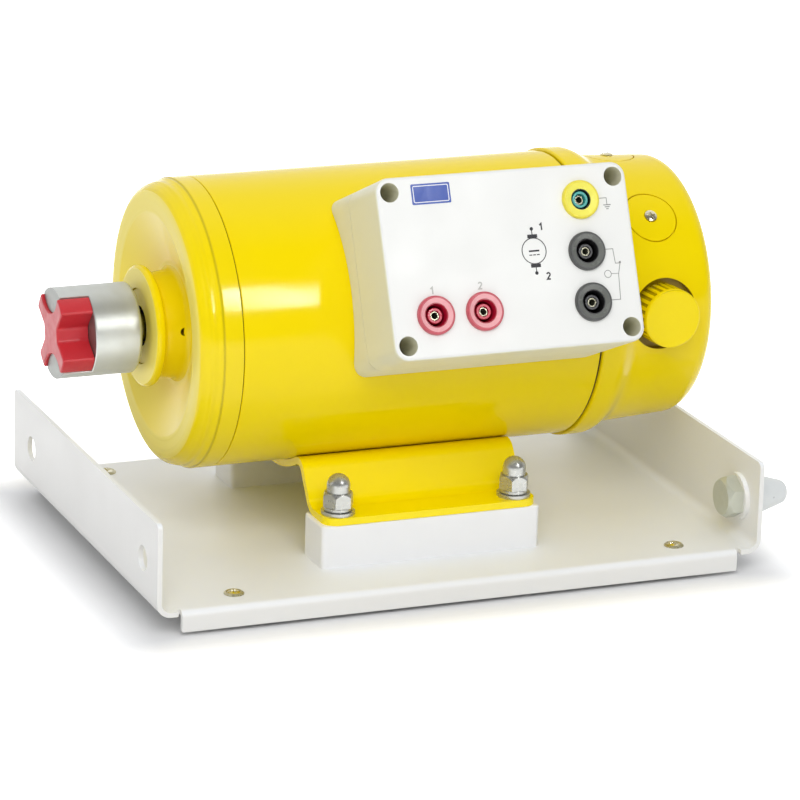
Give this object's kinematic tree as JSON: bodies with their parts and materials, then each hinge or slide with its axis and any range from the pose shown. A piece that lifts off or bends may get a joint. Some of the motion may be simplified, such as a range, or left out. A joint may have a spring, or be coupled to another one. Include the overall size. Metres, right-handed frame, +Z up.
{
  "type": "demonstration electric motor",
  "caption": "Permanent-magnet DC motor in a saddle on a folded steel tray, with a jaw coupling, brush caps and a terminal box of safety sockets, for teaching electrical machines.",
  "frame": {"origin": "middle of the whole outline, on the floor under the feet", "axes": "+X along the motor shaft from the coupling end to the brush end, +Z up, the terminal box's panel looks towards -Y and up"},
  "size_m": [0.4484, 0.2992, 0.2639],
  "materials": {
    "tray_grey": "textured light grey powder coat",
    "riser_white": "smooth light grey paint",
    "motor_yellow": "gloss yellow paint",
    "black_rubber": "matt",
    "zinc_steel": "bright zinc plate",
    "bearing_steel": "ground and polished",
    "core_steel": "varnished laminations",
    "black_steel": "black oxide",
    "ferrite": "ground ferrite",
    "copper": "varnished copper",
    "hub_aluminium": "turned",
    "spider_red": "satin polyurethane",
    "carbon": "pressed graphite",
    "black_plastic": "moulded",
    "box_white": "moulded, fine satin",
    "box_beige": "moulded, fine satin",
    "socket_red": "moulded",
    "socket_yellow": "moulded",
    "socket_black": "moulded",
    "contact_brass": "nickel-plated brass"
  },
  "bodies": {
    "base": {"base_tray": "tray_grey", "rubber_feet": "black_rubber", "foot_screws": "zinc_steel", "docking_bolts": "tray_grey", "docking_washers": "tray_grey", "docking_cones": "zinc_steel", "riser_front": "riser_white", "riser_rear": "riser_white", "motor_cradle": "motor_yellow", "cradle_bolts": "zinc_steel", "cradle_washers": "zinc_steel", "cradle_lock_washers": "zinc_steel", "cradle_dome_nuts": "zinc_steel", "drive_end_shield": "motor_yellow", "yoke_tube": "motor_yellow", "rear_end_cover": "motor_yellow", "through_bolts": "zinc_steel", "field_magnets": "ferrite", "upper_cover_plate": "motor_yellow", "top_cover_plate": "motor_yellow", "cover_plate_screws": "zinc_steel", "thermal_switch": "black_plastic", "drive_bearing_outer_ring": "bearing_steel", "rear_bearing_outer_ring": "bearing_steel", "brush_holder_front": "black_plastic", "brush_holder_rear": "black_plastic", "brush_spring_front": "bearing_steel", "brush_spring_rear": "bearing_steel", "terminal_box_base": "box_beige", "terminal_box_lid": "box_white", "lid_gasket": "black_rubber", "lid_screws": "zinc_steel", "box_fixing_screws": "zinc_steel", "red_socket_left": "socket_red", "red_socket_right": "socket_red", "earth_socket": "socket_yellow", "black_socket_upper": "socket_black", "black_socket_lower": "socket_black", "socket_contacts": "contact_brass", "socket_nuts": "black_plastic"},
    "rotor": {"motor_shaft": "bearing_steel", "armature_core": "core_steel", "armature_winding": "copper", "commutator": "copper", "drive_bearing_inner_ring": "bearing_steel", "rear_bearing_inner_ring": "bearing_steel", "drive_bearing_balls": "bearing_steel", "rear_bearing_balls": "bearing_steel", "coupling_hub": "hub_aluminium", "coupling_spider": "spider_red", "coupling_key": "bearing_steel", "coupling_set_screw": "black_steel"},
    "brush_front_body": {"brush_front": "carbon"},
    "brush_rear_body": {"brush_rear": "carbon"},
    "cap_front_body": {"brush_cap_front": "motor_yellow"},
    "cap_rear_body": {"brush_cap_rear": "motor_yellow"}
  },
  "joints": [
    {"name": "rotor_spin", "type": "hinge", "parent": "base", "child": "rotor", "pos_m": [-0.00285, 0.00793, 0.1505], "axis": [1, 0, 0], "continuous": true},
    {"name": "brush_front_slide", "type": "slide", "parent": "base", "child": "brush_front_body", "axis": [0, -0.9983, 0.0576], "range_m": [0, 0.006], "stiffness_N_per_m": 250, "springref_m": -0.012, "deforming": ["brush_spring_front"]},
    {"name": "brush_cap_front_turn", "type": "hinge", "parent": "base", "child": "cap_front_body", "pos_m": [0.14885, -0.07793, 0.15545], "axis": [0, -0.9983, 0.0576], "range_deg": [0, 90]},
    {"name": "brush_rear_slide", "type": "slide", "parent": "base", "child": "brush_rear_body", "axis": [0, 0.9983, -0.0576], "range_m": [0, 0.006], "stiffness_N_per_m": 250, "springref_m": -0.012, "deforming": ["brush_spring_rear"]},
    {"name": "brush_cap_rear_turn", "type": "hinge", "parent": "base", "child": "cap_rear_body", "pos_m": [0.14885, 0.09378, 0.14555], "axis": [0, 0.9983, -0.0576], "range_deg": [0, 90]}
  ]
}
